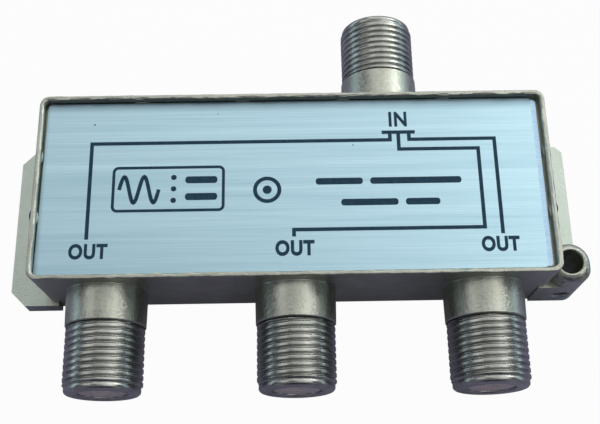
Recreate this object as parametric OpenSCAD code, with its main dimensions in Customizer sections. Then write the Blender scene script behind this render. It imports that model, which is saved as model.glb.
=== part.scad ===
// Three-way coaxial signal splitter with four threaded sockets.
// X runs to the right along the label, Y towards the input socket, Z out of the label.
// The origin is the middle of the back face.

/* [Casting] */
// Width of the casting across its rim
body_w = 62.9; // [58:0.1:80]
// Depth of the casting across its rim, from socket wall to socket wall
body_d = 23.8; // [22:0.1:30]
// Height of the casting from its back to its rim
body_t = 13; // [12.8:0.1:16]
// How far each side leans in from the rim to the back
draft = 0.3; // [0.1:0.05:0.5]
// Radius of the upright corners
corner_r = 1.2; // [0.8:0.1:1.6]
// Thickness of the side walls under the lid
wall_t = 1.5; // [1.3:0.1:1.8]
// Thickness of the floor
floor_t = 1.5; // [1:0.1:2.5]
// Width of the square posts that carry the circuit board
post_w = 2.4; // [1.8:0.1:3]

/* [Rim] */
// Thickness of the lip that stands round the lid
lip_t = 0.6; // [0.4:0.05:0.8]
// Width of each stake that is peened over the lid
stake_w = 1.6; // [1:0.1:2.5]
// Height of each stake
stake_t = 0.35; // [0.2:0.05:0.5]
// How far each stake reaches from the lip over the lid
stake_reach = 0.55; // [0.5:0.05:0.8]
// Number of stakes on each long side
stakes_long = 4; // [2:1:6]
// Number of stakes on each short side
stakes_short = 2; // [1:1:3]

/* [Lid and label] */
// Thickness of the steel lid
lid_t = 0.5; // [0.4:0.1:0.8]
// Depth of the lid's outer face below the rim
lid_sink = 1; // [0.8:0.1:1.4]
// Gap between the lid and the lip
lid_gap = 0.35; // [0.1:0.05:0.4]
// Thickness of the label foil
label_t = 0.1; // [0.05:0.01:0.2]
// Gap between the label and the stakes
label_gap = 0.05; // [0.02:0.01:0.3]
// Extra strip of lid left bare along the label's right and bottom edges
label_strip = 0.4; // [0:0.05:1]

/* [Fixing ears] */
// How far the ears stand out from the rim on each side
ear_w = 4.55; // [4:0.05:7]
// Thickness of the ears
ear_t = 2.5; // [1.5:0.1:4]
// Upper end of the left ear
ear_left_y = 9; // [6:0.1:11]
// Upper end of the right ear
ear_right_y = 8.7; // [6:0.1:11]
// How far the left ear stands out past the output side
ear_foot = 0.3; // [0.1:0.05:0.5]
// Length of the foot that the left ear has along the output side
ear_foot_w = 1.55; // [1:0.05:3]
// Size of the large corner cuts
ear_cut = 1.8; // [0.5:0.1:2.2]
// Size of the small corner cut on the right ear
ear_small_cut = 0.85; // [0.3:0.05:2]
// Radius of the screw holes
screw_hole_r = 1.5; // [1.2:0.05:1.6]
// Distance from the rim's side to the screw holes
screw_hole_off = 1.7; // [1.65:0.05:2.2]

/* [Ground lug] */
// Outer radius of the eye for the ground wire
eye_r = 2.45; // [2.2:0.05:3]
// Radius of the hole for the ground wire
wire_hole_r = 1.45; // [1:0.05:1.6]
// Height of the eye above the back
eye_t = 9; // [7:0.1:11]
// Radius of the eye's outer corner
eye_corner_r = 1.7; // [1:0.1:2.2]
// Height of the block beside the eye
lug_block_t = 6; // [4.5:0.1:7]
// Radius of the hole for the clamp screw
clamp_hole_r = 1.25; // [1:0.05:1.4]
// Height of the clamp screw's hole above the back
clamp_hole_z = 2.6; // [2:0.1:4]
// Radius of the hump on the lip of the eye
hump_r = 1.1; // [0.6:0.1:1.4]
// How far the hump rises over the eye
hump_rise = 0.55; // [0.2:0.05:0.8]

/* [Sockets] */
// Height of the sockets' axes above the back
socket_z = 6.5; // [6.5:0.1:7]
// Distance from one output socket to the next
out_spacing = 23; // [15:0.1:23.5]
// Distance of the input socket to the right of the middle
in_x = 11.4; // [6:0.1:14]
// Radius of the plain root at the wall
root_r = 4.95; // [4.85:0.01:4.99]
// Radius of the plain root where the thread begins
root_end_r = 4.85; // [4.75:0.01:4.95]
// Length of the plain root
root_len = 4.35; // [3:0.05:6]
// Outer radius of the thread
thread_r = 4.75; // [4.7:0.01:4.8]
// Distance from one thread crest to the next
thread_pitch = 0.794; // [0.78:0.001:1]
// Depth of the thread
thread_depth = 0.35; // [0.2:0.01:0.36]
// Width of each thread crest
crest_w = 0.34; // [0.3:0.01:0.34]
// Number of thread crests
crests = 9; // [5:1:12]
// Plain groove before and after the thread
relief = 0.3; // [0.25:0.01:0.6]
// Radius of the smooth ring at the tip
tip_r = 4.55; // [4.4:0.01:4.58]
// Length of the smooth ring at the tip
tip_len = 0.75; // [0.5:0.05:1.5]
// Chamfer on the tip
tip_chamfer = 0.3; // [0.1:0.05:0.45]
// Radius of the bore that holds the insulator
bore_r = 3.3; // [3:0.05:3.6]
// Radius of the mouth
mouth_r = 2.9; // [2.5:0.05:2.9]
// Thickness of the lip at the mouth
mouth_t = 0.7; // [0.4:0.05:1]

/* [Insulators and contacts] */
// Depth of each insulator's face inside the mouth
face_sink = 0.25; // [0.1:0.05:0.4]
// Thickness of the insulator in front of the contact
face_t = 1; // [0.8:0.05:2]
// Radius of the hole that takes the cable's centre wire
pin_hole_r = 0.65; // [0.55:0.05:0.7]
// Width of the funnel at the mouth of that hole
funnel_r = 1.2; // [0.9:0.05:1.6]
// Outer radius of the contact tube
contact_r = 0.95; // [0.8:0.05:1.2]
// Inner radius of the contact tube
contact_bore_r = 0.48; // [0.4:0.02:0.55]
// Width of the slit that makes the contact springy
slit_w = 0.2; // [0.1:0.05:0.3]
// Length of that slit
slit_len = 5; // [3:0.5:8]
// Thickness of the contact's tail
tail_t = 0.35; // [0.2:0.05:0.5]
// Width of the contact's tail
tail_w = 1; // [0.6:0.1:1.2]
// Distance from the wall to the tail's bend
tail_out = 1.4; // [1:0.1:2]
// Length of the tail's foot on the board
tail_foot = 1; // [0.6:0.1:1.5]

/* [Circuit board] */
// Thickness of the circuit board
board_t = 1; // [0.6:0.1:1.6]
// Depth of the board's face below the sockets' axes
board_drop = 1.1; // [0.9:0.1:1.4]
// Gap between the board and the walls
board_gap = 0.3; // [0.1:0.05:0.5]

/* [Transformers] */
// Outer radius of the ferrite rings
core_r = 2; // [1.8:0.1:2.2]
// Radius of the hole in the ferrite rings
core_hole_r = 1; // [0.9:0.05:1.1]
// Height of the ferrite rings
core_t = 1.6; // [1.2:0.1:2.4]
// Rounding of the ferrite rings' edges
core_edge = 0.2; // [0.1:0.05:0.3]
// Distance between neighbouring rings
core_pitch = 8; // [7.5:0.1:8.5]
// Distance of the rings from the input wall
core_in = 6.2; // [5.8:0.1:7]
// Radius of the enamelled wire
wire_r = 0.15; // [0.1:0.01:0.16]
// Gap between the wire and the ring's faces
wire_gap = 0.13; // [0.1:0.01:0.2]
// Turns of wire on a matching transformer
matching_turns = 4; // [2:1:5]
// Turns of wire on a splitting transformer
splitting_turns = 5; // [2:1:5]
// Part of the ring that a winding covers, in degrees
winding_span = 240; // [180:10:270]
// Length of the leads on the board
lead_len = 1; // [0.5:0.1:1.2]

/* [Resistors and capacitors] */
// Radius of the resistors
resistor_r = 0.85; // [0.6:0.05:1.1]
// Length of the resistors
resistor_len = 3.6; // [2.5:0.1:5]
// Radius of the discs of the capacitors
disc_r = 2; // [1.5:0.1:2.2]
// Thickness of the discs of the capacitors
disc_t = 1.4; // [1:0.1:1.8]
// Radius of the leads
lead_r = 0.22; // [0.15:0.01:0.3]
// Distance between a capacitor's leads
lead_spacing = 2.5; // [2:0.1:3]
// Gap between these parts and the board
stand_off = 0.5; // [0.3:0.1:0.8]
// Distance of the row of these parts from the output wall
row_in = 5.6; // [5:0.1:7]

/* [Hidden] */
$fn = 64;
// Fit between an insulator and its bore, and between a contact and its insulator
fit = 0.03;
// Facets on the corners of the leaning shell
shell_fn = 32;
// How far a cut runs past the face that it opens
past = 1;

cavity_w = body_w - 2 * wall_t;
cavity_d = body_d - 2 * wall_t;
lid_top = body_t - lid_sink;
ledge_z = lid_top - lid_t;
recess_w = body_w - 2 * lip_t;
recess_d = body_d - 2 * lip_t;
lid_w = recess_w - 2 * lid_gap;
lid_d = recess_d - 2 * lid_gap;
lid_corner_r = corner_r - lip_t;
label_edge = stake_reach - lid_gap + label_gap;

reach = body_w / 2 + ear_w;
eye_x = reach - eye_r;
eye_y = eye_r - body_d / 2;
screw_hole_x = body_w / 2 + screw_hole_off;

groove_r = thread_r - thread_depth;
flank = thread_depth * tan(30);
thread_start = root_len + relief;
thread_end = thread_start + (crests - 1) * thread_pitch + crest_w;
tip_start = thread_end + relief;
socket_len = tip_start + tip_len;

board_top = socket_z - board_drop;
board_bottom = board_top - board_t;

core_mid_r = (core_r + core_hole_r) / 2;
// Half-width and half-height of one turn, a squarish loop that clears the ring's edges
wrap_w = (core_r - core_hole_r) / 2 + wire_gap + wire_r;
wrap_h = core_t / 2 + wire_gap + wire_r;
core_z = board_top + wrap_h + wire_r;
core_row_y = cavity_d / 2 - core_in;
row_y = row_in - cavity_d / 2;
wire_sides = 6;
steps_per_turn = 16;

module rounded_rectangle(w, d, r) {
    square([w, d - 2 * r], center = true);
    square([w - 2 * r, d], center = true);
    for (x = [-1, 1], y = [-1, 1])
        translate([x * (w / 2 - r), y * (d / 2 - r)]) circle(r);
}

// Carries a socket's own frame, with Z out of the socket and Y up, to output place x
module at_output(x) {
    translate([x, -body_d / 2, socket_z]) rotate([90, 0, 0]) children();
}

module at_input() {
    rotate([0, 0, 180]) at_output(-in_x) children();
}

module at_sockets() {
    for (i = [-1:1]) at_output(i * out_spacing) children();
    at_input() children();
}

// The leaning outer shell, widest at the rim
module shell() {
    hull()
        for (x = [-1, 1], y = [-1, 1])
            translate([x * (body_w / 2 - corner_r), y * (body_d / 2 - corner_r), 0])
                cylinder(h = body_t, r1 = corner_r - draft, r2 = corner_r, $fn = shell_fn);
}

// Outline of the metal of a socket: radius across, distance from the wall upwards
function crest(y) = [
    [groove_r, y - flank], [thread_r, y], [thread_r, y + crest_w], [groove_r, y + crest_w + flank]
];

module barrel_outline() {
    polygon(concat(
        [[0, -wall_t], [root_r, -wall_t], [root_r, 0], [root_end_r, root_len], [groove_r, root_len]],
        [for (i = [0:crests - 1]) each crest(thread_start + i * thread_pitch)],
        [[groove_r, tip_start], [tip_r, tip_start], [tip_r, socket_len - tip_chamfer],
            [tip_r - tip_chamfer, socket_len], [0, socket_len]]
    ));
}

module barrel_bore() {
    translate([0, 0, -wall_t - past]) cylinder(h = wall_t + past + socket_len - mouth_t, r = bore_r);
    cylinder(h = socket_len + past, r = mouth_r);
}

module left_ear() {
    low = -body_d / 2 - ear_foot;
    linear_extrude(ear_t)
        polygon([
            [ear_foot_w - body_w / 2, low], [ear_cut - reach, low], [-reach, low + ear_cut],
            [-reach, ear_left_y - ear_cut], [ear_cut - reach, ear_left_y],
            [ear_foot_w - body_w / 2, ear_left_y]
        ]);
}

module right_ear() {
    linear_extrude(ear_t)
        polygon([
            [cavity_w / 2, eye_y], [reach, eye_y], [reach, ear_right_y - ear_small_cut],
            [reach - ear_small_cut, ear_right_y], [cavity_w / 2, ear_right_y]
        ]);
}

// The eye takes the ground wire, and the block beside it joins it to the corner
module ground_lug() {
    corner = eye_r - eye_corner_r;
    linear_extrude(eye_t) {
        translate([eye_x, eye_y]) circle(eye_r);
        translate([eye_x, eye_y - eye_r]) square([corner, eye_r]);
        translate([eye_x, eye_y - corner]) square([eye_r, corner]);
        translate([eye_x + corner, eye_y - corner]) circle(eye_corner_r);
    }
    translate([cavity_w / 2, eye_y - eye_r, 0])
        cube([eye_x - cavity_w / 2, 2 * eye_r - wall_t, lug_block_t]);
    translate([eye_x, eye_y - wire_hole_r, eye_t + hump_rise - hump_r])
        rotate([90, 0, 0]) cylinder(h = eye_r - wire_hole_r, r = hump_r);
}

module ground_lug_holes() {
    translate([eye_x, eye_y, -past]) cylinder(h = eye_t + hump_rise + 2 * past, r = wire_hole_r);
    translate([eye_x, eye_y, clamp_hole_z])
        rotate([90, 0, 0]) cylinder(h = eye_r + past, r = clamp_hole_r);
}

module screw_holes() {
    for (x = [-1, 1])
        translate([x * screw_hole_x, 0, -past]) cylinder(h = ear_t + 2 * past, r = screw_hole_r);
}

// One of the small lumps of the lip that are pressed over the lid's edge, with the lid towards -Y
module stake() {
    translate([-stake_w / 2, -stake_reach, lid_top])
        cube([stake_w, stake_reach + lip_t / 2, stake_t]);
}

module stakes() {
    for (i = [1:stakes_long], turn = [0, 180])
        rotate([0, 0, turn])
            translate([body_w * (i / (stakes_long + 1) - 0.5), recess_d / 2, 0]) stake();
    for (i = [1:stakes_short], turn = [90, 270])
        rotate([0, 0, turn])
            translate([body_d * (i / (stakes_short + 1) - 0.5), recess_w / 2, 0]) stake();
}

module housing() {
    color([0.74, 0.74, 0.69]) {
        difference() {
            union() {
                shell();
                left_ear();
                right_ear();
                ground_lug();
                at_sockets() rotate_extrude() barrel_outline();
            }
            translate([0, 0, floor_t])
                linear_extrude(body_t) square([cavity_w, cavity_d], center = true);
            translate([0, 0, ledge_z])
                linear_extrude(body_t) rounded_rectangle(recess_w, recess_d, lid_corner_r);
            at_sockets() barrel_bore();
            ground_lug_holes();
            screw_holes();
        }
        stakes();
        for (x = [-1, 1], y = [-1, 1])
            translate([x * (cavity_w - post_w) / 2, y * (cavity_d - post_w) / 2, floor_t / 2])
                translate([-post_w / 2, -post_w / 2, 0])
                    cube([post_w, post_w, board_bottom - floor_t / 2]);
    }
}

module lid() {
    color([0.66, 0.74, 0.80])
        translate([0, 0, ledge_z])
            linear_extrude(lid_t) rounded_rectangle(lid_w, lid_d, lid_corner_r - lid_gap / 2);
}

module label() {
    margin = 2 * label_edge + label_strip;
    color([0.70, 0.83, 0.90])
        translate([-label_strip / 2, label_strip / 2, lid_top])
            linear_extrude(label_t) square([lid_w - margin, lid_d - margin], center = true);
}

module insulator() {
    shoulder = socket_len - mouth_t;
    face = socket_len - face_sink;
    funnel = funnel_r - pin_hole_r;
    color([0.93, 0.91, 0.82])
        rotate_extrude()
            polygon([
                [contact_r + fit, -wall_t], [bore_r - fit, -wall_t], [bore_r - fit, shoulder],
                [mouth_r - fit, shoulder], [mouth_r - fit, face], [funnel_r, face],
                [pin_hole_r, face - funnel], [pin_hole_r, face - face_t], [contact_r + fit, face - face_t]
            ]);
}

module contact() {
    end = socket_len - face_sink - face_t;
    plug = 1;
    bend = -wall_t - tail_out;
    color([0.80, 0.66, 0.35]) {
        difference() {
            translate([0, 0, -wall_t]) cylinder(h = wall_t + end, r = contact_r, $fn = 32);
            translate([0, 0, plug]) cylinder(h = end, r = contact_bore_r, $fn = 32);
            translate([-slit_w / 2, -2 * contact_r, end - slit_len])
                cube([slit_w, 4 * contact_r, slit_len + past]);
        }
        rotate([90, 0, 90])
            translate([0, 0, -tail_w / 2])
                linear_extrude(tail_w)
                    polygon([
                        [tail_t / 2, -wall_t / 2], [tail_t / 2, bend], [tail_t - board_drop, bend],
                        [tail_t - board_drop, bend - tail_foot], [-board_drop, bend - tail_foot],
                        [-board_drop, bend + tail_t], [-tail_t / 2, bend + tail_t], [-tail_t / 2, -wall_t / 2]
                    ]);
    }
}

module circuit_board() {
    color([0.62, 0.45, 0.26])
        translate([0, 0, board_bottom])
            linear_extrude(board_t) square([cavity_w - 2 * board_gap, cavity_d - 2 * board_gap], center = true);
}

// Place of ring i, counted from the input socket to the left
function core_place(i) = [in_x - i * core_pitch, core_row_y, core_z];

module core(i) {
    color([0.20, 0.20, 0.21])
        translate(core_place(i))
            rotate_extrude()
                translate([core_mid_r, 0]) rounded_rectangle(core_r - core_hole_r, core_t, core_edge);
}

// The wire winds round the ring's section while it moves on round the ring
function squarish(v) = sign(v) * pow(abs(v), 2 / 3);
function around(angle, r, z) = [r * cos(angle), r * sin(angle), z];
function wrap(angle, turn) = around(angle, core_mid_r + wrap_w * squarish(cos(turn)), wrap_h * squarish(sin(turn)));
function winding_path(turns) = let(
    r = core_mid_r + wrap_w,
    last = 360 * turns - 90,
    steps = steps_per_turn * turns
) concat(
    [around(0, r + lead_len, -wrap_h), around(0, r + 2 * wire_r, -wrap_h)],
    [around(0, r + wire_r / 2, 1.5 * wire_r - wrap_h), around(0, r, -wrap_h / 2)],
    [for (i = [0:steps]) wrap(winding_span * i / steps, last * i / steps)],
    [around(winding_span, r + lead_len, -wrap_h)]
);

function unit(v) = v / norm(v);
function direction(path, i) = unit(path[min(i + 1, len(path) - 1)] - path[max(i - 1, 0)]);
function hoop(p) = unit([-p.y, p.x, 0]);
function section(p, along) = let(
    side = unit(hoop(p) - (hoop(p) * along) * along),
    top = cross(along, side)
) [for (k = [0:wire_sides - 1]) let(a = 360 * k / wire_sides) p + wire_r * (cos(a) * side + sin(a) * top)];

module swept_wire(path) {
    rings = len(path);
    polyhedron(
        points = [for (i = [0:rings - 1]) each section(path[i], direction(path, i))],
        faces = concat(
            [[for (k = [0:wire_sides - 1]) k]],
            [for (i = [0:rings - 2], k = [0:wire_sides - 1])
                let(a = i * wire_sides, b = a + wire_sides, next = (k + 1) % wire_sides)
                each [[a + k, b + k, b + next], [a + k, b + next, a + next]]],
            [[for (k = [wire_sides - 1:-1:0]) (rings - 1) * wire_sides + k]]
        )
    );
}

module winding(i, turns) {
    color([0.66, 0.30, 0.14])
        translate(core_place(i)) rotate([0, 0, 150]) swept_wire(winding_path(turns));
}

// A bead with thicker ends, and wires that turn down to the board
module resistor(x) {
    cap = resistor_len / 4;
    waist = 0.85 * resistor_r;
    half = resistor_len / 2;
    lead = half + resistor_r;
    axis_z = board_top + stand_off + resistor_r;
    color([0.80, 0.70, 0.52])
        translate([x, row_y, axis_z]) {
            rotate([0, 90, 0])
                rotate_extrude($fn = 32)
                    polygon([
                        [0, -half], [waist, -half], [resistor_r, -half + cap / 3], [resistor_r, -half + cap],
                        [waist, -half + 1.4 * cap], [waist, half - 1.4 * cap], [resistor_r, half - cap],
                        [resistor_r, half - cap / 3], [waist, half], [0, half]
                    ]);
            translate([-lead, 0, 0]) rotate([0, 90, 0]) cylinder(h = 2 * lead, r = lead_r, $fn = 16);
            for (side = [-1, 1])
                translate([side * lead, 0, 0]) {
                    sphere(lead_r, $fn = 16);
                    translate([0, 0, board_top - axis_z]) cylinder(h = axis_z - board_top, r = lead_r, $fn = 16);
                }
        }
}

// A coated disc that stands on its two wires
module capacitor(x, y) {
    middle = board_top + stand_off + disc_r;
    edge = disc_t / 3;
    color([0.82, 0.55, 0.24])
        translate([x, y, middle]) {
            rotate([90, 0, 0])
                rotate_extrude($fn = 32)
                    polygon([
                        [0, -disc_t / 2], [disc_r - edge, -disc_t / 2], [disc_r, -edge / 2],
                        [disc_r, edge / 2], [disc_r - edge, disc_t / 2], [0, disc_t / 2]
                    ]);
            for (side = [-1, 1])
                translate([side * lead_spacing / 2, 0, board_top - middle])
                    cylinder(h = middle - board_top, r = lead_r, $fn = 16);
        }
}

housing();
lid();
label();
circuit_board();
at_input() insulator();  // insulator_in
at_output(-out_spacing) insulator();  // insulator_out_left
at_output(0) insulator();  // insulator_out_middle
at_output(out_spacing) insulator();  // insulator_out_right
at_input() contact();  // contact_in
at_output(-out_spacing) contact();  // contact_out_left
at_output(0) contact();  // contact_out_middle
at_output(out_spacing) contact();  // contact_out_right
core(0);  // matching_core_1
core(1);  // splitting_core_1
core(2);  // matching_core_2
core(3);  // splitting_core_2
winding(0, matching_turns);  // matching_winding_1
winding(1, splitting_turns);  // splitting_winding_1
winding(2, matching_turns);  // matching_winding_2
winding(3, splitting_turns);  // splitting_winding_2
resistor(-out_spacing / 2);  // resistor_left
resistor(out_spacing / 2);  // resistor_right
capacitor(in_x - 4 * core_pitch, core_row_y);  // capacitor_left
capacitor(0, row_y);  // capacitor_middle
capacitor(in_x + core_pitch, core_row_y);  // capacitor_right
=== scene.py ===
# Three-way coaxial splitter: a die-cast box with screw sockets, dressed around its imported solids.
# Sizes are in millimetres, and each mesh is scaled to metres once, when it is finished.

import math

import bmesh
import bpy
from mathutils import Euler, Matrix, Vector, noise


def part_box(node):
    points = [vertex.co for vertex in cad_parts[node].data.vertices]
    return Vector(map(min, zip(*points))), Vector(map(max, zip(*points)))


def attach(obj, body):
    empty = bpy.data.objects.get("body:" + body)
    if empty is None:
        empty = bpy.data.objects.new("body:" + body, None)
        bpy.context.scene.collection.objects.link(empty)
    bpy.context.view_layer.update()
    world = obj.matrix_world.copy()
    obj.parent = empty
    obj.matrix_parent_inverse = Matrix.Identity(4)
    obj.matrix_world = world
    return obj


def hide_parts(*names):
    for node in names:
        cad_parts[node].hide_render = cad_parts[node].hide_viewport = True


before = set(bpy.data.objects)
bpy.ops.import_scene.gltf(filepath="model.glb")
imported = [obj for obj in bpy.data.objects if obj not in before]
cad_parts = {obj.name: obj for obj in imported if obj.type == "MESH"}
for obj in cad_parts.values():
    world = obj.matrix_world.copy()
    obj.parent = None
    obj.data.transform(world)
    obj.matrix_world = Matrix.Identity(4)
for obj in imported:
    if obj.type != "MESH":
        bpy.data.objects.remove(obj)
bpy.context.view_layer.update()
MM = 0.001


# Casting
# One zinc die casting: the open box with its rim, the fixing ears, the ground lug and the plain roots of
# the sockets. Its skin is orange-peel rough from the die, and the tin-nickel plate turns it a warm grey.

body = Vector((62.9, 23.8, 13.0))
draft = 0.3
corner_r = 1.2
wall = 1.5
base_t = 1.5
lid_top = 12.0
edge_r = 0.16
post_w, post_corner_r, post_top = 2.4, 0.2, 4.4
overshoot = 1.0
ear_t = 2.5
ear_reach = 36.0
ear_foot, ear_foot_w = 0.3, 1.55
ear_left_y, ear_right_y = 9.0, 8.7
ear_cut, ear_small_cut = 1.8, 0.85
ear_screw_x, ear_screw_r = 33.15, 1.5
pale_x, pale_z = (31.3, 31.8), (2.8, 2.4)
eye = Vector((33.55, -9.45))
eye_r = 2.45
eye_corner_r = 1.7
eye_top = 9.0
eye_crown = [
    (0.0, 8.12), (0.03, 8.3), (0.1, 8.46), (0.2, 8.6), (0.36, 8.74), (0.6, 8.86), (0.84, 8.95), (0.97, 9.0),
]
eye_lean = Vector((0.2, -0.1))
lug_block_t = 6.0
hump_profile = [(1.05, 0.0), (1.1, 0.2), (1.1, 0.75), (0.95, 0.92)]
hump_in, hump_z = 1.5, 7.5
wire_r = 1.45
wire_fillet = 0.26
wire_mouth_z = 8.92
mouth_overshoot = (0.1, 0.5)
clamp_z = 2.6
clamp_crest_r, clamp_root_r = 0.98, 1.25
clamp_step, clamp_steps = 0.22, 16
socket_z = 6.5
socket_places = [(-23.0, -1), (0.0, -1), (23.0, -1), (11.4, 1)]
root_r, root_end_r, root_len = 4.95, 4.85, 4.35
root_sunk, root_swell, root_bevel, root_face_r = 0.9, 0.02, 0.12, 4.3
flare_r, flare_sunk = 0.4, 0.3
bore_r = 3.3
rim_profile = [
    (0.6, 11.5), (0.6, 12.72), (0.58, 12.82), (0.53, 12.91), (0.45, 12.965), (0.36, 12.99), (0.28, 13.1),
]
rim_outer_r = 0.17
rim_inside = 0.55
rim_stray = ((0.1, 1.4), (0.07, 0.6))
rim_strays_above, rim_strays_by = 12.7, 5.0
rim_seed = 1795695782
long_runs, short_runs = 120, 44
stake_gap, stake_y = 12.58, 3.97
stake_places = [
    (stake_gap * i + stake_gap / 2, side * (body.y / 2 - rim_inside), (0, -side))
    for i in (-2, -1, 0, 1) for side in (-1, 1)
] + [
    (side * (body.x / 2 - rim_inside), stake_y * i, (-side, 0)) for i in (-1, 1) for side in (-1, 1)
]
scoop_half_w, scoop_reach, scoop_sunk, scoop_lift, scoop_steps = 0.9, 0.2, 0.15, 0.02, 12
corners = ((1, 1), (-1, 1), (-1, -1), (1, -1))
maths = "ShaderNodeMath"


def linear(hex_colour):
    """The linear RGBA that the shaders take, from an sRGB hex colour."""
    channels = [int(hex_colour[i:i + 2], 16) / 255 for i in (1, 3, 5)]
    return [c / 12.92 if c <= 0.04045 else ((c + 0.055) / 1.055) ** 2.4 for c in channels] + [1.0]


def add(tree, kind, inputs=None, **settings):
    """Adds a node with its settings, and fills its inputs with values, sockets or nodes' first outputs."""
    made = tree.nodes.new(kind)
    for name, value in settings.items():
        setattr(made, name, value)
    for key, value in (inputs or {}).items():
        source = value.outputs[0] if isinstance(value, bpy.types.Node) else value
        if isinstance(source, bpy.types.NodeSocket):
            tree.links.new(source, made.inputs[key])
        else:
            made.inputs[key].default_value = source
    return made


def surface(name, colours, roughness, size, depth=0.0, clouds=None, share=1.0, detail=2.0, **numbers):
    """A material whose gloss and bump follow one noise, and whose colour follows it or broader clouds.

    The sizes of the blots along X, Y and Z and the depth of the bump are in millimetres.
    Share is how much of the colour the clouds set.
    """
    made = bpy.data.materials.new(name)
    made.use_nodes = True
    tree = made.node_tree
    shader = tree.nodes["Principled BSDF"]
    for key, value in numbers.items():
        shader.inputs[key.replace("_", " ")].default_value = value
    place = add(tree, "ShaderNodeTexCoord").outputs["Object"]
    noises = []
    for blots in (size, clouds or size):
        scale = [1 / (blot * MM) for blot in blots]
        spot = add(tree, "ShaderNodeMapping", {"Vector": place, "Scale": scale})
        noises.append(add(tree, "ShaderNodeTexNoise", {"Vector": spot, "Scale": 1.0, "Detail": detail}))
    fine, broad = noises
    tone = add(tree, "ShaderNodeMix", {0: share, 2: fine, 3: broad}, data_type="FLOAT")
    middle = {"From Min": 0.3, "From Max": 0.7}
    wash = add(tree, "ShaderNodeMapRange", {"Value": tone, **middle})
    low, high = (linear(colour) for colour in colours)
    colour = add(tree, "ShaderNodeMix", {0: wash, 6: low, 7: high}, data_type="RGBA")
    spread = {"To Min": roughness[0], "To Max": roughness[1]}
    gloss = add(tree, "ShaderNodeMapRange", {"Value": fine, **middle, **spread})
    tree.links.new(colour.outputs[2], shader.inputs["Base Color"])
    tree.links.new(gloss.outputs[0], shader.inputs["Roughness"])
    if depth:
        bump = add(tree, "ShaderNodeBump", {"Height": fine, "Distance": depth * MM, "Strength": 1.0})
        tree.links.new(bump.outputs[0], shader.inputs["Normal"])
    return made


def tint(material, mask, colour):
    """Turns a material towards a second colour by a mask."""
    tree = material.node_tree
    target = tree.nodes["Principled BSDF"].inputs["Base Color"]
    under = target.links[0].from_socket
    both = add(tree, "ShaderNodeMix", {0: mask, 6: under, 7: linear(colour)}, data_type="RGBA")
    tree.links.new(both.outputs[2], target)


def arc(centre, radius, start, end, steps):
    """Points on an arc from one angle to another, in degrees."""
    angles = [math.radians(start + (end - start) * i / steps) for i in range(steps + 1)]
    return [(centre[0] + radius * math.cos(a), centre[1] + radius * math.sin(a)) for a in angles]


def quarter(radius):
    """A rounded edge in 15-degree steps, as how far it draws in and how far it rises."""
    angles = [math.radians(15 * i) for i in range(7)]
    return [(radius * (1 - math.cos(a)), radius * math.sin(a)) for a in angles]


def rounded(width, depth, radius, centre=(0.0, 0.0)):
    """A rectangle's outline with round corners."""
    points = []
    for turn, (x, y) in enumerate(corners):
        middle = (centre[0] + x * (width / 2 - radius), centre[1] + y * (depth / 2 - radius))
        points += arc(middle, radius, 90 * turn, 90 * turn + 90, 10)
    return points


def at_height(outline, z):
    return [(point[0], point[1], z) for point in outline]


def ragged(outline, z, share):
    """An outline in runs of half a millimetre, whose points stray as a cast and hammered edge does.

    Share is how much of the full straying shows.
    """
    points = []
    for start, end in zip(outline, outline[1:] + outline[:1]):
        start, end = Vector((*start, z)), Vector((*end, z))
        length = (end - start).length
        runs = long_runs if length > body.y else short_runs if length > corner_r else 1
        points += [start.lerp(end, i / runs) for i in range(runs)]
    return [
        point + sum((share * most * noise.noise_vector(point / blot) for most, blot in rim_stray), Vector())
        for point in points
    ]


def put_down(name, mesh):
    """Makes an object from bmesh faces, turned outwards."""
    bmesh.ops.recalc_face_normals(mesh, faces=mesh.faces)
    made = bpy.data.objects.new(name, bpy.data.meshes.new(name))
    mesh.to_mesh(made.data)
    mesh.free()
    bpy.context.scene.collection.objects.link(made)
    return made


def loft(name, loops, closed=False):
    """A solid through loops of equal length, with a face at each end or, where closed, back to the first."""
    mesh = bmesh.new()
    rings = [[mesh.verts.new(point) for point in loop] for loop in loops]
    for low, high in zip(rings, rings[1:] + rings[:1] if closed else rings[1:]):
        for i, corner in enumerate(low):
            after = (i + 1) % len(low)
            mesh.faces.new((corner, low[after], high[after], high[i]))
    if not closed:
        mesh.faces.new(reversed(rings[0]))
        mesh.faces.new(rings[-1])
    return put_down(name, mesh)


def prism(name, outline, low, high):
    return loft(name, [at_height(outline, low), at_height(outline, high)])


def turned(name, profile, placement, steps=96):
    """A solid of revolution: its profile is (radius, distance), and its axis is the placement's Z."""
    last = 360 * (1 - 1 / steps)
    circles = [at_height(arc((0, 0), r, 0, last, steps - 1), z) for r, z in profile]
    return loft(name, [[placement @ Vector(point) for point in circle] for circle in circles])


def joined(name, parts):
    """One piece from several."""
    mesh = bmesh.new()
    for part in parts:
        mesh.from_mesh(part.data)
        bpy.data.objects.remove(part)
    return put_down(name, mesh)


def set_modifiers(piece):
    """Turns a piece's modifiers into its plain mesh."""
    evaluated = piece.evaluated_get(bpy.context.evaluated_depsgraph_get())
    mesh = bpy.data.meshes.new_from_object(evaluated)
    piece.modifiers.clear()
    piece.data = mesh


def shape(piece, tool, operation):
    """Unites a tool with a piece, or cuts it out, and puts the tool away."""
    modifier = piece.modifiers.new("shape", "BOOLEAN")
    modifier.operation = operation
    modifier.object = tool
    modifier.solver = "EXACT"
    set_modifiers(piece)
    bpy.data.objects.remove(tool)


def towards(side, x, y, z):
    """A frame whose Z runs level from a point, towards -Y for side -1 and +Y for side 1."""
    return Matrix.Translation((x, y, z)) @ Matrix.Rotation(-side * math.pi / 2, 4, "X")


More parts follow.
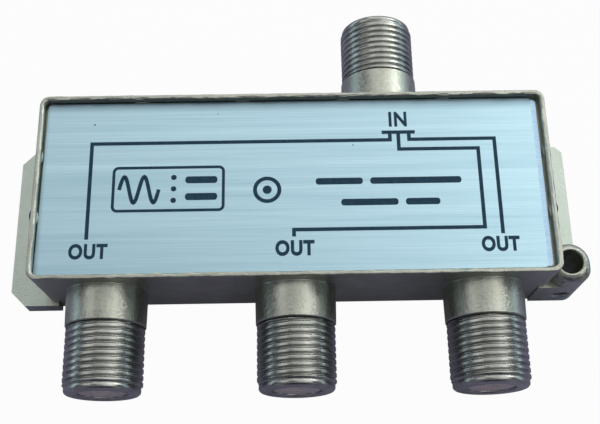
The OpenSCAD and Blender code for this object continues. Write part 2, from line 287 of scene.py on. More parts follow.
def ear_outlines():
    half = body.x / 2
    low = -body.y / 2 - ear_foot
    left = [
        (ear_foot_w - half, low), (ear_cut - ear_reach, low), (-ear_reach, low + ear_cut),
        (-ear_reach, ear_left_y - ear_cut), (ear_cut - ear_reach, ear_left_y),
        (ear_foot_w - half, ear_left_y),
    ]
    right = [
        (half - wall, eye.y), (ear_reach, eye.y), (ear_reach, ear_right_y - ear_small_cut),
        (ear_reach - ear_small_cut, ear_right_y), (half - wall, ear_right_y),
    ]
    return left, right


def eye_outline(inset):
    """The ground lug from above, drawn in by the inset: a ring with one tighter corner."""
    middle = eye + inset * eye_lean
    corner = middle + Vector((eye_r - eye_corner_r, eye_corner_r - eye_r))
    return arc(middle, eye_r - inset, 0, 270, 40) + arc(corner, eye_corner_r - inset, -90, 0, 10)


def scoop(x, y, way):
    """The hollow that a punch leaves in the rim's inner edge: long, narrow and shallow."""
    along, across = scoop_half_w * Vector((way[1], way[0], 0)), scoop_reach * Vector((*way, 0))
    rise = Vector((0, 0, scoop_sunk))
    middle = Vector((x, y, body.z + scoop_lift))
    circle = [math.tau * i / scoop_steps for i in range(scoop_steps)]
    loops = []
    for i in range(1, scoop_steps):
        turn = math.pi * i / scoop_steps
        centre = middle - math.cos(turn) * along
        loops.append([centre + math.sin(turn) * (across * math.cos(a) + rise * math.sin(a)) for a in circle])
    return loft("scoop", loops)


def build_casting():
    def outline(inset):
        return rounded(body.x - 2 * inset, body.y - 2 * inset, corner_r - inset)

    rim = [
        at_height(ragged(outline(inset), 0, up / rim_outer_r), body.z - rim_outer_r + up)
        for inset, up in quarter(rim_outer_r)
    ]
    casting = loft("casting", [ragged(outline(draft), 0, 0)] + rim)
    for ear in ear_outlines():
        shape(casting, prism("ear", ear, 0, ear_t), "UNION")
    eye_edge = [at_height(eye_outline(inset), z) for inset, z in eye_crown]
    shape(casting, loft("eye", [at_height(eye_outline(0), 0)] + eye_edge), "UNION")
    inner, front, back = body.x / 2 - wall, eye.y - eye_r, eye.y + eye_r - wall
    block = [(inner, front), (eye.x, front), (eye.x, back), (inner, back)]
    shape(casting, prism("block", block, 0, lug_block_t), "UNION")
    hump = turned("hump", hump_profile, towards(-1, eye.x, eye.y - hump_in, hump_z), 32)
    shape(casting, hump, "UNION")

    cavity = [(x * (body.x / 2 - wall), y * (body.y / 2 - wall)) for x, y in corners]
    shape(casting, prism("cavity", cavity, base_t, body.z + overshoot), "DIFFERENCE")
    post_in = wall + post_w / 2
    for x, y in corners:
        centre = (x * (body.x / 2 - post_in), y * (body.y / 2 - post_in))
        post = rounded(post_w, post_w, post_corner_r, centre)
        shape(casting, prism("post", post, base_t / 2, post_top), "UNION")

    rounding = casting.modifiers.new("rounding", "BEVEL")
    rounding.width = edge_r
    rounding.segments = 2
    rounding.limit_method = "ANGLE"
    rounding.angle_limit = math.radians(40)
    set_modifiers(casting)

    # The rim's opening strays more and more towards its upper edge.
    recess = []
    for inset, z in rim_profile:
        share = min(max(z - rim_strays_above, 0) * rim_strays_by, 1) if z < body.z else 0
        recess.append(ragged(outline(inset), z, share))
    shape(casting, loft("recess", recess), "DIFFERENCE")
    shape(casting, joined("scoops", [scoop(*place) for place in stake_places]), "DIFFERENCE")

    # Each root swells a little where it leaves the wall, narrows to its end, and is bored for the contact.
    flare = [(root_r + flare_r - up, inward - flare_sunk) for inward, up in quarter(flare_r)]
    root = [(root_r + flare_r, -root_sunk)] + flare + [
        (root_end_r + root_swell, root_len - root_bevel), (root_end_r - root_bevel, root_len),
        (root_face_r, root_len),
    ]
    bore = [(bore_r, -2 * wall), (bore_r, root_len + overshoot)]
    for x, side in socket_places:
        socket = towards(side, x, side * body.y / 2, socket_z)
        shape(casting, turned("root", root, socket), "UNION")
        shape(casting, turned("bore", bore, socket), "DIFFERENCE")

    mouth = [(wire_r + out, wire_mouth_z - wire_fillet + up) for out, up in quarter(wire_fillet)]
    wire_hole = [(wire_r, -overshoot)] + mouth + [
        (wire_r + wire_fillet + mouth_overshoot[0], eye_top + mouth_overshoot[1]),
    ]
    shape(casting, turned("wire_hole", wire_hole, Matrix.Translation((eye.x, eye.y, 0)), 48), "DIFFERENCE")
    tapped = [(clamp_root_r if i % 2 else clamp_crest_r, clamp_step * i) for i in range(clamp_steps)]
    shape(casting, turned("clamp_hole", tapped, towards(-1, eye.x, eye.y, clamp_z), 48), "DIFFERENCE")
    screw_hole = [(ear_screw_r, 0), (ear_screw_r, 2 * ear_t)]
    for side in (-1, 1):
        under = Matrix.Translation((side * ear_screw_x, 0, -overshoot))
        shape(casting, turned("screw_hole", screw_hole, under, 48), "DIFFERENCE")
    return casting


def fit(piece, material, sharp_angle=35.0):
    """Scales a finished mesh to metres, smooths it with its flats level, and rides it on the body."""
    mesh = piece.data
    mesh.transform(Matrix.Scale(MM, 4))
    mesh.materials.clear()
    mesh.materials.append(material)
    mesh.shade_smooth()
    mesh.set_sharp_from_angle(angle=math.radians(sharp_angle))
    level = piece.modifiers.new("level", "WEIGHTED_NORMAL")
    level.keep_sharp = True
    set_modifiers(piece)
    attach(piece, "root")


def rub_edges(material, reach, colour, patch=1.2):
    """Rubs a material bright along its edges, more in some places than in others, by patches."""
    tree = material.node_tree
    soft = add(tree, "ShaderNodeBevel", {"Radius": reach * MM}, samples=4)
    true = add(tree, "ShaderNodeNewGeometry").outputs["Normal"]
    same = add(tree, "ShaderNodeVectorMath", {0: soft, 1: true}, operation="DOT_PRODUCT").outputs["Value"]
    edge = add(tree, "ShaderNodeMapRange", {"Value": same, "From Min": 0.99, "From Max": 0.88})
    place = add(tree, "ShaderNodeTexCoord").outputs["Object"]
    patches = add(tree, "ShaderNodeTexNoise", {"Vector": place, "Scale": 1 / (patch * MM)})
    tint(material, add(tree, maths, {0: edge, 1: patches}, operation="MULTIPLY"), colour)


def paint_crevice_shade(material, reach, colour, most):
    """Paints shade into a material's grooves and corners, as far as the reach in millimetres."""
    tree = material.node_tree
    openness = add(tree, "ShaderNodeAmbientOcclusion", {"Distance": reach * MM}, samples=8).outputs["AO"]
    shut = {"Value": openness, "From Min": 0.8, "From Max": 0.35, "To Max": most}
    tint(material, add(tree, "ShaderNodeMapRange", shut), colour)


def paint_ears_lit(material, colour, most):
    """Paints a material paler on the ears, low beside the box: painted light for the light they catch."""
    tree = material.node_tree
    place = add(tree, "ShaderNodeTexCoord").outputs["Object"]
    x, _, z = add(tree, "ShaderNodeSeparateXYZ", {0: place}).outputs
    out = add(tree, maths, {0: x}, operation="ABSOLUTE")
    beside, beneath = [
        add(tree, "ShaderNodeMapRange", {"Value": run, "From Min": start * MM, "From Max": end * MM})
        for run, (start, end) in ((out, pale_x), (z, pale_z))
    ]
    low = add(tree, maths, {0: beneath, 1: most}, operation="MULTIPLY")
    tint(material, add(tree, maths, {0: beside, 1: low}, operation="MULTIPLY"), colour)


# Tin-nickel plate on a die-cast skin: a satin shine that breaks up over a shallow orange peel.
# The ears are painted paler and cooler than the box, as painted light for the light they catch.
plated_casting = surface(
    "plated_zinc_casting", ("#999c8e", "#babeb0"), (0.3, 0.44), (0.36, 0.36, 0.36), 0.034, (3.0, 3.0, 3.0),
    0.5, detail=2.5, Metallic=1.0,
)
# Painted light: the ears are painted paler and cooler than the box.
paint_ears_lit(plated_casting, "#b8c6bb", 0.85)
rub_edges(plated_casting, 0.12, "#c8cabe")
# Painted shade: the casting is darkened in its grooves and corners, where shade falls.
paint_crevice_shade(plated_casting, 0.35, "#434f60", 0.4)
# Left unseeded, the noise would take its seed from the clock, and the rim would stray differently each run.
noise.seed_set(rim_seed)
casting = build_casting()
fit(casting, plated_casting)
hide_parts("housing")


# Screw threads
# The front of each socket, cut with a 3/8-32 thread after casting and plated with it, so it is part of the
# same piece. The thread runs out into a groove at each end, and the tip has a bevelled edge.

pitch = 0.794
turns, rows_per_turn, sides = 11, 16, 104
groove_r, thread_depth, run_out = 4.49, 0.26, 0.25
thread_end, socket_len, seat = 11.62, 12.392, 11.692
crest_shape = [(0.05, 0.0), (0.12, 0.14), (0.19, 0.68), (0.25, 0.94), (0.34, 1.0)]
sleeve_profile = [
    (groove_r, thread_end), (4.51, 11.66), (4.55, 11.74), (4.55, 12.06), (4.5, 12.18), (4.34, 12.34),
    (4.2, socket_len), (3.06, socket_len), (2.95, 12.34), (2.9, 12.2), (2.9, seat), (bore_r, seat),
    (bore_r, root_len), (groove_r, root_len),
]
weld = 0.002


def new_tree(name, floats, integers):
    """An empty Geometry Nodes tree with named inputs."""
    tree = bpy.data.node_groups.new(name, "GeometryNodeTree")
    tree.interface.new_socket("Geometry", in_out="INPUT", socket_type="NodeSocketGeometry")
    tree.interface.new_socket("Geometry", in_out="OUTPUT", socket_type="NodeSocketGeometry")
    for names, kind in ((floats, "NodeSocketFloat"), (integers, "NodeSocketInt")):
        for label in names:
            tree.interface.new_socket(label, in_out="INPUT", socket_type=kind)
    return tree, add(tree, "NodeGroupInput").outputs


def end_tree(tree, instances, material):
    """Makes the instances real, gives them their material and hands them out."""
    solid = add(tree, "GeometryNodeRealizeInstances", {"Geometry": instances})
    finished = add(tree, "GeometryNodeSetMaterial", {"Geometry": solid, "Material": material})
    add(tree, "NodeGroupOutput", {0: finished})
    return tree


def thread_tree(material):
    """A tree that puts a threaded sleeve on each vertex of the input mesh, along its facing attribute."""
    tree, given = new_tree(
        "screw_thread",
        floats=("Pitch", "Turns", "Start", "End", "Groove Radius", "Depth", "Run Out"),
        integers=("Sides", "Rows", "Seed"),
    )

    def wrapped(grid, across, radius, along):
        """Bends a flat grid round the Z axis."""
        angle = add(tree, maths, {0: across, 1: math.tau}, operation="MULTIPLY")
        cosine, sine = [add(tree, maths, {0: angle}, operation=kind) for kind in ("COSINE", "SINE")]
        x, y = [add(tree, maths, {0: radius, 1: share}, operation="MULTIPLY") for share in (cosine, sine)]
        point = add(tree, "ShaderNodeCombineXYZ", {0: x, 1: y, 2: along})
        return add(tree, "GeometryNodeSetPosition", {"Geometry": grid, "Position": point})

    # Every row of the grid follows the helix, one pitch higher after a full turn, and stops at the two ends.
    columns = add(tree, maths, {0: given["Sides"], 1: 1}, operation="ADD")
    size = {"Size X": 1.0, "Size Y": 1.0, "Vertices X": columns}
    grid = add(tree, "GeometryNodeMeshGrid", {**size, "Vertices Y": given["Rows"]}).outputs
    across, up, _ = add(tree, "ShaderNodeSeparateXYZ", {0: grid["UV Map"]}).outputs
    turn = add(tree, maths, {0: up, 1: given["Turns"]}, operation="MULTIPLY")
    turned_by = add(tree, maths, {0: turn, 1: across}, operation="ADD")
    risen = add(tree, maths, {0: turned_by, 1: 1}, operation="SUBTRACT")
    free = add(tree, maths, {0: risen, 1: given["Pitch"], 2: given["Start"]}, operation="MULTIPLY_ADD")
    along = add(tree, "ShaderNodeClamp", {"Value": free, "Min": given["Start"], "Max": given["End"]})

    # The crest is broad and a little worn, with steep flanks, and it sinks into the groove at both ends.
    crest = add(tree, "ShaderNodeFloatCurve", {"Value": add(tree, maths, {0: turn}, operation="FRACT")})
    points = crest.mapping.curves[0].points
    points[0].location, points[1].location = (0.0, 0.0), (1.0, 0.0)
    for x, y in crest_shape + [(1 - x, y) for x, y in reversed(crest_shape)]:
        points.new(x, y)
    crest.mapping.update()
    risen_by = add(tree, maths, {0: given["Start"], 1: given["Run Out"]}, operation="ADD")
    begin = add(
        tree, "ShaderNodeMapRange", {"Value": along, "From Min": given["Start"], "From Max": risen_by},
        interpolation_type="SMOOTHSTEP",
    )
    sinks_from = add(tree, maths, {0: given["End"], 1: given["Run Out"]}, operation="SUBTRACT")
    stop = add(
        tree, "ShaderNodeMapRange", {"Value": along, "From Min": given["End"], "From Max": sinks_from},
        interpolation_type="SMOOTHSTEP",
    )
    ends = add(tree, maths, {0: begin, 1: stop}, operation="MULTIPLY")
    height = add(tree, maths, {0: crest, 1: ends}, operation="MULTIPLY")
    radius = add(
        tree, maths, {0: height, 1: given["Depth"], 2: given["Groove Radius"]}, operation="MULTIPLY_ADD",
    )
    thread = wrapped(grid["Mesh"], across, radius, along)

    # The turned rest of the sleeve: the ring at the tip, its bevelled edge, the mouth and the bore.
    rings = len(sleeve_profile)
    ring = add(tree, "GeometryNodeMeshGrid", {**size, "Vertices Y": rings}).outputs
    across, up, _ = add(tree, "ShaderNodeSeparateXYZ", {0: ring["UV Map"]}).outputs
    row = add(tree, maths, {0: up, 1: rings - 1}, operation="MULTIPLY")
    step = add(tree, "GeometryNodeIndexSwitch", data_type="VECTOR")
    while len(step.index_switch_items) < rings:
        step.index_switch_items.new()
    for i, (r, z) in enumerate(sleeve_profile):
        step.inputs[i + 1].default_value = (r, z, 0.0)
    tree.links.new(add(tree, maths, {0: row}, operation="ROUND").outputs[0], step.inputs[0])
    out, front, _ = add(tree, "ShaderNodeSeparateXYZ", {0: step}).outputs
    rest = wrapped(ring["Mesh"], across, out, front)

    sleeve = add(tree, "GeometryNodeJoinGeometry", {0: thread})
    tree.links.new(rest.outputs[0], sleeve.inputs[0])
    sleeve = add(tree, "GeometryNodeMergeByDistance", {"Geometry": sleeve, "Distance": weld})
    facing = add(tree, "GeometryNodeInputNamedAttribute", {"Name": "facing"}, data_type="FLOAT_VECTOR")
    aim = add(tree, "FunctionNodeAlignRotationToVector", {"Vector": facing}, axis="Z")
    placed = add(
        tree, "GeometryNodeInstanceOnPoints",
        {"Points": given["Geometry"], "Instance": sleeve, "Rotation": aim},
    )
    start = add(tree, "FunctionNodeRandomValue", {"Max": math.tau, "Seed": given["Seed"]}, data_type="FLOAT")
    spin = add(tree, "ShaderNodeCombineXYZ", {2: start.outputs[1]})
    rolled = add(tree, "GeometryNodeRotateInstances", {"Instances": placed, "Rotation": spin})
    return end_tree(tree, rolled, material)


def grow(name, vertices, directions, tree, sizes):
    """Runs a tree with its sizes on vertices that each have a facing direction, and gives the plain mesh."""
    made = bpy.data.objects.new(name, bpy.data.meshes.new(name))
    made.data.from_pydata(vertices, [], [])
    facings = made.data.attributes.new("facing", "FLOAT_VECTOR", "POINT")
    facings.data.foreach_set("vector", [value for direction in directions for value in direction])
    bpy.context.scene.collection.objects.link(made)
    modifier = made.modifiers.new("grow", "NODES")
    modifier.node_group = tree
    for socket in tree.interface.items_tree:
        if socket.name in sizes:
            modifier[socket.identifier] = sizes[socket.name]
    set_modifiers(made)
    mesh = bmesh.new()
    mesh.from_mesh(made.data)
    bmesh.ops.remove_doubles(mesh, verts=mesh.verts, dist=weld / 2)
    bmesh.ops.recalc_face_normals(mesh, faces=mesh.faces)
    mesh.to_mesh(made.data)
    mesh.free()
    return made


# Plate on cut metal: smoother and brighter than the cast skin. The marks of the tool, about 0.05 mm apart,
# are too fine to show, so they are drawn as soft clouds of half a millimetre to one.
cut_thread = surface(
    "plated_cut_thread", ("#93968e", "#adafa7"), (0.24, 0.33), (0.9, 0.5, 0.9), 0.004, (2.0, 2.0, 2.0),
    Metallic=1.0,
)
# Painted shade: the thread is darkened in its grooves, where shade falls.
paint_crevice_shade(cut_thread, 0.35, "#54575c", 0.4)
threads = grow(
    "socket_threads",
    [(x, side * body.y / 2, socket_z) for x, side in socket_places],
    [(0, side, 0) for x, side in socket_places],
    thread_tree(cut_thread),
    {
        "Pitch": pitch, "Turns": float(turns), "Start": root_len, "End": thread_end,
        "Groove Radius": groove_r, "Depth": thread_depth, "Run Out": run_out,
        "Sides": sides, "Rows": turns * rows_per_turn + 1, "Seed": 3,
    },
)
fit(threads, cut_thread, sharp_angle=50.0)


# Contacts and insulators
# Each contact is a tube rolled from bronze strip and tinned, held in a turned sleeve of milky polyethylene
# that is pressed into the socket from inside.

def dress(material, *nodes):
    """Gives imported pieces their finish."""
    for node in nodes:
        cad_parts[node].material_slots[0].material = material


ports = ("in", "out_left", "out_middle", "out_right")
# Rolled bronze under thin tin: a soft golden shine that tarnish clouds.
bronze = surface("tinned_bronze", ("#b3904e", "#cbb078"), (0.22, 0.36), (0.8, 0.8, 0.8), Metallic=1.0)
dress(bronze, *[f"contact_{port}" for port in ports])
# Turned polyethylene: light passes a little way into it, faint rings run round it, and dust greys it.
polyethylene = surface(
    "turned_polyethylene", ("#cabeb4", "#ded4cb"), (0.38, 0.55), (1.5, 0.08, 1.5), 0.006, (0.5, 0.5, 0.5),
    IOR=1.51, Subsurface_Weight=0.15, Subsurface_Scale=0.001,
)
dress(polyethylene, *[f"insulator_{port}" for port in ports])


# Circuit board
# A punched plate of resin-bonded paper that rests on the casting's posts, joins the four contacts and
# carries the small parts.

# Paper board: dull brown resin with the paper's fibres just showing, drawn broader than they are.
paper_board = surface(
    "punched_paper_board", ("#8a6238", "#a97c4c"), (0.5, 0.65), (1.2, 0.15, 0.15), 0.02,
    detail=4.0, IOR=1.55,
)
dress(paper_board, "circuit_board")


# Transformers
# Pressed and sintered ferrite rings, each wound by hand with a few turns of enamelled copper wire and
# soldered to the board.

stages = ("matching", "splitting")
# Sintered ferrite: a matt charcoal ceramic, whose fine grain is drawn coarser, at 0.12 mm, so that it shows.
ferrite = surface("sintered_ferrite", ("#2b2b2d", "#3c3c3f"), (0.5, 0.7), (0.12, 0.12, 0.12), 0.01, IOR=1.9)
dress(ferrite, *[f"{stage}_core_{i}" for stage in stages for i in (1, 2)])
# Enamelled copper: the drawn wire shines red-brown through a glossy lacquer.
enamel = surface(
    "enamelled_copper", ("#8f3d1c", "#a9532a"), (0.2, 0.3), (0.6, 0.6, 0.6),
    Metallic=1.0, Coat_Weight=1.0, Coat_Roughness=0.1,
)
dress(enamel, *[f"{stage}_winding_{i}" for stage in stages for i in (1, 2)])


# Resistors and capacitors
# Two carbon film resistors under lacquer and three ceramic discs dipped in phenolic resin, soldered to
# the board. Both coats have run and set, so they are glossy with a slight orange peel.

# Tan lacquer: a warm beige gloss.
lacquer = surface("tan_lacquer", ("#c2ab80", "#d0bb92"), (0.3, 0.42), (0.5, 0.5, 0.5), 0.02, IOR=1.52)
dress(lacquer, "resistor_left", "resistor_right")
# Dipped phenolic: a dull orange gloss, a little cloudy.
phenolic = surface("orange_phenolic", ("#b8702c", "#cd853c"), (0.3, 0.42), (0.5, 0.5, 0.5), 0.02, IOR=1.52)
dress(phenolic, *[f"capacitor_{side}" for side in ("left", "middle", "right")])


# Lid
# A blank of tinned sheet steel that drops on the ledge inside the rim. Only a thin strip of it shows, to
# the right of the label.

# Cold-rolled tin plate: smooth and bluish, with faint lines along the sheet, drawn broader than they are.
tin_plate = surface(
    "tinned_sheet_steel", ("#93b0c4", "#afc9d9"), (0.26, 0.38), (4.0, 0.15, 1.0), Metallic=1.0,
)
dress(tin_plate, "lid")


# Rim stakes
# Twelve places where a punch has squeezed the rim's inner edge over the lid, which holds the lid for good.
# Each lump is the casting's own metal, so it has no seam with the rim.

stake_w, stake_reach, stake_h = 1.7, 0.18, 0.2
stake_forward, stake_up = 0.04, 0.1
stake_pinch, stake_foot = -0.18, -0.3
stake_slope, stake_mid = -0.35, 0.85
struck_least, struck_most = (0.85, 0.85, 0.85), (1.1, 1.0, 1.05)


def stake_tree(material):
    """A tree that puts a squeezed lump on each vertex, reaching along its facing attribute."""
    tree, given = new_tree("rim_stake", floats=("Width", "Reach", "Height"), integers=("Seed",))
    ball = add(tree, "GeometryNodeMeshIcoSphere", {"Radius": 1.0, "Subdivisions": 4})
    x, y, z = add(tree, "ShaderNodeSeparateXYZ", {0: add(tree, "GeometryNodeInputPosition")}).outputs

    # Its foot is flat on the lid, its ends are pinched, and it slopes up towards the rim.
    side = add(tree, maths, {0: x}, operation="ABSOLUTE")
    pinch = add(tree, maths, {0: side, 1: stake_pinch, 2: 1.0}, operation="MULTIPLY_ADD")
    ramp = add(tree, maths, {0: y, 1: stake_slope, 2: stake_mid}, operation="MULTIPLY_ADD")
    half = add(tree, maths, {0: given["Width"], 1: 0.5}, operation="MULTIPLY")
    wide = add(tree, maths, {0: x, 1: half}, operation="MULTIPLY")
    reach = add(tree, maths, {0: y, 1: given["Reach"]}, operation="MULTIPLY")
    deep = add(tree, maths, {0: reach, 1: pinch}, operation="MULTIPLY")
    sloped = add(tree, maths, {0: z, 1: ramp}, operation="MULTIPLY")
    footed = add(tree, maths, {0: sloped, 1: stake_foot}, operation="MAXIMUM")
    high = add(tree, maths, {0: footed, 1: given["Height"]}, operation="MULTIPLY")
    spot = add(tree, "ShaderNodeCombineXYZ", {0: wide, 1: deep, 2: high})
    lump = add(tree, "GeometryNodeSetPosition", {"Geometry": ball, "Position": spot})

    facing = add(tree, "GeometryNodeInputNamedAttribute", {"Name": "facing"}, data_type="FLOAT_VECTOR")
    aim = add(tree, "FunctionNodeAlignRotationToVector", {"Vector": facing}, axis="Y", pivot_axis="Z")
    struck = add(
        tree, "FunctionNodeRandomValue", {0: struck_least, 1: struck_most, "Seed": given["Seed"]},
        data_type="FLOAT_VECTOR",
    )
    placed = add(
        tree, "GeometryNodeInstanceOnPoints",
        {"Points": given["Geometry"], "Instance": lump, "Rotation": aim, "Scale": struck},
    )
    return end_tree(tree, placed, material)


# Punched plate: the punch has pressed the orange peel flat, which leaves it even but duller than the box.
burnished = surface(
    "punch_burnished_zinc", ("#8a8b80", "#a4a59a"), (0.4, 0.5), (0.4, 0.4, 0.4), 0.01, Metallic=1.0,
)
stakes = grow(
    "rim_stakes",
    [
        (x + stake_forward * way[0], y + stake_forward * way[1], lid_top + stake_up)
        for x, y, way in stake_places
    ],
    [(*way, 0) for x, y, way in stake_places],
    stake_tree(burnished),
    {"Width": stake_w, "Reach": stake_reach, "Height": stake_h, "Seed": 5},
)
fit(stakes, burnished, sharp_angle=60.0)


# Label
# Self-adhesive aluminium foil, brushed along its length and lacquered, then cut a little askew. It covers
# the lid but for a bare strip along its right edge.

label_low, label_high = (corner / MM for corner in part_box("label"))
label_face = label_high.z
label_left_x = (-30.79, -30.5)
label_far_y = 11.2
label_near_y = (-11.12, -11.08)
label_corner_r = 0.35
rim_shadow_y, rim_shadow_x = (9.6, 11.25), (-30.1, -30.85)


def build_label():
    width, depth = label_high.x - label_left_x[0], label_far_y - label_near_y[0]
    middle = ((label_left_x[0] + label_high.x) / 2, (label_far_y + label_near_y[0]) / 2)
    skew = (label_near_y[1] - label_near_y[0]) / width
    lean = (label_left_x[1] - label_left_x[0]) / depth
    outline = [
        (x if x > 0 else x + lean * (y - label_near_y[0]), y if y > 0 else y + skew * (x - label_left_x[0]))
        for x, y in rounded(width, depth, label_corner_r, middle)
    ]
    return prism("label_foil", outline, label_low.z, label_face)


def paint_rim_shadow(material, colour, far_most, left_most):
    """Darkens a material towards the far and left edges with a painted shadow of the rim."""
    tree = material.node_tree
    place = add(tree, "ShaderNodeTexCoord").outputs["Object"]
    x, y, _ = add(tree, "ShaderNodeSeparateXYZ", {0: place}).outputs
    for run, (in_light, in_shade), most in ((y, rim_shadow_y, far_most), (x, rim_shadow_x, left_most)):
        band = {"Value": run, "From Min": in_light * MM, "From Max": in_shade * MM, "To Max": most}
        tint(material, add(tree, "ShaderNodeMapRange", band, interpolation_type="SMOOTHSTEP"), colour)


# Brushed and lacquered foil: a bluish silver with streaks along its length and broader bands in them. The
# real streaks, of about 0.03 mm, are too fine to show, so they are drawn 0.14 mm broad.
foil = surface(
    "brushed_aluminium_foil", ("#9bbec8", "#bbdae2"), (0.3, 0.42), (16.0, 0.14, 1.0), 0.004,
    (60.0, 1.1, 1.0), 0.45, detail=3.0, Metallic=1.0, Coat_Weight=0.25, Coat_Roughness=0.25,
)
# Painted shadow: the rim's shadow is painted on the foil along its far and left edges.
paint_rim_shadow(foil, "#5f7480", 0.7, 0.5)
label = build_label()
fit(label, foil)
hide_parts("label")


# Print
# Ink screen-printed on the foil: the paths from the input to the three outputs, generic words at the
# sockets, and plain marks. The film is thin, dead flat and even.

ink_t = 0.015
ink_low, ink_high = label_face - 0.01, label_face + ink_t
line_w = 0.46
frame_w = 0.36
bar_round = 0.42
letter_gap = 1.12
path_y, out_y = 6.7, -6.8
left_x, middle_x, right_x = -24.8, -0.08, 24.87
words = [
    ("IN", (11.93, 7.46), (14.18, 9.5), 0.034),
    ("OUT", (-26.82, -9.27), (-22.2, -7.33), 0.044),
    ("OUT", (-2.32, -9.22), (2.34, -7.24), 0.048),
    ("OUT", (22.2, -9.04), (26.76, -7.1), 0.048),
]
sign_size, sign_centre, sign_corner_r = (13.7, 5.97), (-15.24, -0.435), 0.75
wave_start, wave_step, wave_h, wave_steps = (-21.2, -0.5), 0.1, 1.7, 24
sign_dot_x, sign_dot_r = -14.6, 0.34
hub, hub_outer_r, hub_inner_r, hub_dot_r = (-3.25, -0.75), 1.72, 1.24, 0.55
sign_bars = [((-13.2, 0.25), (-9.3, 1.15)), ((-13.2, -1.95), (-9.3, -1.05))]
plain_bars = [
    ((2.66, -0.18), (8.4, 0.67)), ((9.3, -0.18), (20.41, 0.67)),
    ((5.68, -2.95), (12.6, -2.1)), ((13.5, -2.95), (17.66, -2.1)),
]
specks = [((-24.62, 8.28), 0.1), ((-9.34, 9.56), 0.07), ((7.37, 5.03), 0.08)]


def slab(outline):
    """A flat patch of ink, from just inside the foil to its own thickness above it."""
    return prism("ink", outline, ink_low, ink_high)


def dot(centre, radius):
    return slab(arc(centre, radius, 0, 345, 23))


def bar(low, high):
    """A patch with round ends that fills the box between two corners."""
    size = (high[0] - low[0], high[1] - low[1])
    middle = ((low[0] + high[0]) / 2, (low[1] + high[1]) / 2)
    return slab(rounded(*size, min(size) * bar_round, middle))


def line(points):
    """One line of ink through points, with mitred corners."""
    places = [Vector(point) for point in points]
    loops = []
    for i, place in enumerate(places):
        before = (place - places[i - 1]).normalized() if i else (places[1] - place).normalized()
        after = (places[i + 1] - place).normalized() if i + 1 < len(places) else before
        first, second = (Vector((-way.y, way.x)) for way in (before, after))
        mitre = (first + second).normalized()
        edge = mitre * line_w / 2 / mitre.dot(first)
        left, right = place + edge, place - edge
        loops.append([(*left, ink_low), (*left, ink_high), (*right, ink_high), (*right, ink_low)])
    return loft("line", loops)


def outlined(outer, inner):
    """A closed line of ink between two outlines with as many points."""
    edges = [(outer, ink_low), (outer, ink_high), (inner, ink_high), (inner, ink_low)]
    return loft("outline", [at_height(outline, z) for outline, z in edges], closed=True)


def word(text, low, high, run):
    """A generic word in plain capitals that fills the box between two corners.

    Run is how far the ink has run past the edges of its strokes, as a share of the letters' size.
    """
    curve = bpy.data.curves.new("word", "FONT")
    curve.body = text
    curve.extrude = 0.5
    curve.offset = run
    curve.space_character = letter_gap
    written = bpy.data.objects.new("word", curve)
    bpy.context.scene.collection.objects.link(written)
    mesh = bpy.data.meshes.new_from_object(written.evaluated_get(bpy.context.evaluated_depsgraph_get()))
    bpy.data.objects.remove(written)
    spots = [v.co for v in mesh.vertices]
    least = Vector([min(spot[i] for spot in spots) for i in range(3)])
    most = Vector([max(spot[i] for spot in spots) for i in range(3)])
    goal = Vector((high[0] - low[0], high[1] - low[1], ink_high - ink_low))
    scale = Matrix.Diagonal([goal[i] / (most[i] - least[i]) for i in range(3)]).to_4x4()
    mesh.transform(Matrix.Translation((*low, ink_low)) @ scale @ Matrix.Translation(-least))
    letters = bmesh.new()
    letters.from_mesh(mesh)
    bmesh.ops.remove_doubles(letters, verts=letters.verts, dist=weld / 10)
    return put_down("word", letters)


def build_print():
    leg_y = path_y - line_w / 2
    parts = [line(points) for points in (
        [(10.99, path_y), (15.11, path_y)],
        [(11.98, leg_y), (11.98, 5.67), (left_x, 5.67), (left_x, out_y)],
        [(13.03, leg_y), (13.03, 4.4), (22.78, 4.4), (22.78, -5.94), (middle_x, -5.94), (middle_x, out_y)],
        [(14.34, leg_y), (14.34, 5.7), (right_x, 5.7), (right_x, out_y)],
    )]
    parts += [word(*written) for written in words]

    # A framed sign for a wave, with three dots and two bars, and a round sign for a coaxial socket.
    outer = rounded(*sign_size, sign_corner_r, sign_centre)
    inner_size = [size - 2 * frame_w for size in sign_size]
    parts.append(outlined(outer, rounded(*inner_size, sign_corner_r - frame_w, sign_centre)))
    x, y = wave_start
    wave = range(2 * wave_steps + 1)
    parts.append(line([(x + wave_step * i, y + wave_h * math.sin(math.tau * i / wave_steps)) for i in wave]))
    parts += [dot((sign_dot_x, y), sign_dot_r) for y in (1.05, -0.45, -1.95)]
    parts += [bar(*box) for box in sign_bars]
    rings = [arc(hub, radius, 0, 354, 59) for radius in (hub_outer_r, hub_inner_r)]
    parts += [outlined(*rings), dot(hub, hub_dot_r)]

    # Two rows of plain bars, and three stray specks that the screen has let through.
    parts += [bar(*box) for box in plain_bars] + [dot(*speck) for speck in specks]
    return joined("label_print", parts)


# Screen ink: a blue-black film, matt enough that the lamps hardly show in it.
ink = surface(
    "screen_ink", ("#133344", "#1b4154"), (0.5, 0.62), (0.6, 0.6, 0.6), IOR=1.5, Specular_IOR_Level=0.2,
)
label_print = build_print()
fit(label_print, ink)


# Studio
# A plain pale floor that the object lies on, and broad soft lamps overhead, in front, behind and at both
# sides, where some are faintly blue. The metal mirrors a dim lilac room and a grey-lilac floor, which the
# camera sees white. The camera stands where the photograph was taken from.

floor_reach, floor_gap = 3000.0, 0.02
floor_seen, floor_mirrored = 0.97, 0.03


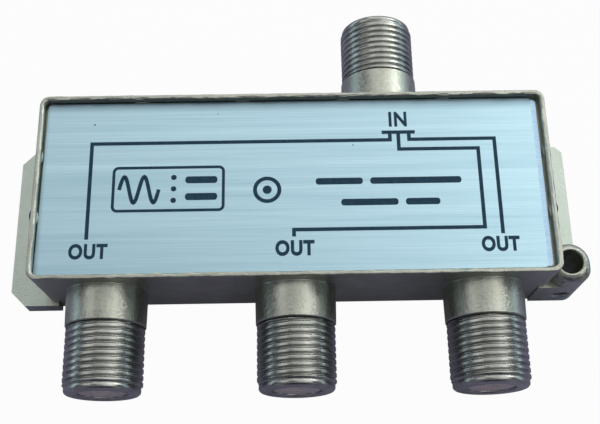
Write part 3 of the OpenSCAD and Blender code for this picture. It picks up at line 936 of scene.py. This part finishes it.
def build_floor():
    made = bpy.data.objects.new("floor", bpy.data.meshes.new("floor"))
    edges = [(x * floor_reach * MM, y * floor_reach * MM, -floor_gap * MM) for x, y in corners]
    made.data.from_pydata(edges, [], [(0, 1, 2, 3)])
    bpy.context.scene.collection.objects.link(made)
    paper = bpy.data.materials.new("pale_paper")
    paper.use_nodes = True
    tree = paper.node_tree
    tree.nodes.remove(tree.nodes["Principled BSDF"])
    shaded = add(tree, "ShaderNodeBsdfDiffuse", {"Color": linear("#9694af")})
    white = add(tree, "ShaderNodeEmission", {"Color": (1, 1, 1, 1), "Strength": 1.0})
    rays = add(tree, "ShaderNodeLightPath").outputs
    seen, glossy, through = [rays[f"Is {kind} Ray"] for kind in ("Camera", "Glossy", "Transmission")]
    mirrored = add(tree, maths, {0: glossy, 1: through}, operation="MAXIMUM")
    faint = add(tree, maths, {0: mirrored, 1: floor_mirrored}, operation="MULTIPLY")
    share = add(tree, maths, {0: seen, 1: floor_seen, 2: faint}, operation="MULTIPLY_ADD")
    mix = add(tree, "ShaderNodeMixShader", {0: share, 1: shaded, 2: white})
    tree.links.new(mix.outputs[0], tree.nodes["Material Output"].inputs["Surface"])
    made.data.materials.append(paper)


def build_lamp(name, place, width, depth, brightness, colour="#ffffff"):
    """A rectangular lamp that faces the object and looks as bright as a surface of that radiance."""
    light = bpy.data.lights.new(name, "AREA")
    light.color = linear(colour)[:3]
    light.shape = "RECTANGLE"
    light.size, light.size_y = width * MM, depth * MM
    light.energy = brightness * math.pi * light.size * light.size_y
    made = bpy.data.objects.new(name, light)
    made.location = Vector(place) * MM
    made.rotation_euler = Vector(place).to_track_quat("Z", "Y").to_euler()
    bpy.context.scene.collection.objects.link(made)


def build_room():
    world = bpy.data.worlds.new("room")
    bpy.context.scene.world = world
    world.use_nodes = True
    tree = world.node_tree
    seen = add(tree, "ShaderNodeLightPath").outputs["Is Camera Ray"]
    dim, white = linear("#302e46"), linear("#fdfdfd")
    colour = add(tree, "ShaderNodeMix", {0: seen, 6: dim, 7: white}, data_type="RGBA")
    tree.links.new(colour.outputs[2], tree.nodes["Background"].inputs["Color"])


def build_camera():
    lens = bpy.data.cameras.new("camera")
    lens.sensor_width = 36.0
    lens.lens = 57.525
    lens.clip_start = 0.005
    made = bpy.data.objects.new("camera", lens)
    made.location = Vector((-0.314, -44.349, 119.928)) * MM
    made.rotation_euler = Euler([math.radians(a) for a in (20.661, -0.153, -0.992)])
    bpy.context.scene.collection.objects.link(made)
    bpy.context.scene.camera = made


build_floor()
build_lamp("overhead", (75, 90, 400), 710, 270, 0.97)
build_lamp("overhead_left", (-325, 90, 395), 260, 270, 1.2)
build_lamp("overhead_right", (250, 140, 400), 340, 170, 1.16)
build_lamp("overhead_front", (0, -200, 400), 900, 280, 0.32)
build_lamp("doorway", (530, 340, 390), 260, 200, 4.4)
build_lamp("skylight", (120, 390, 330), 640, 180, 2.1)
build_lamp("behind", (0, 600, 150), 900, 260, 0.8)
for side in (-1, 1):
    build_lamp("side", (side * 600, 40, 80), 420, 110, 1.9, "#d6ecfa")
    build_lamp("front_corner", (side * 450, -480, 180), 420, 200, 0.48)
    build_lamp("back_corner", (side * 500, 340, 130), 400, 220, 1.3, "#d6ecfa")
build_room()
build_camera()
bpy.context.scene.view_settings.view_transform = "Standard"
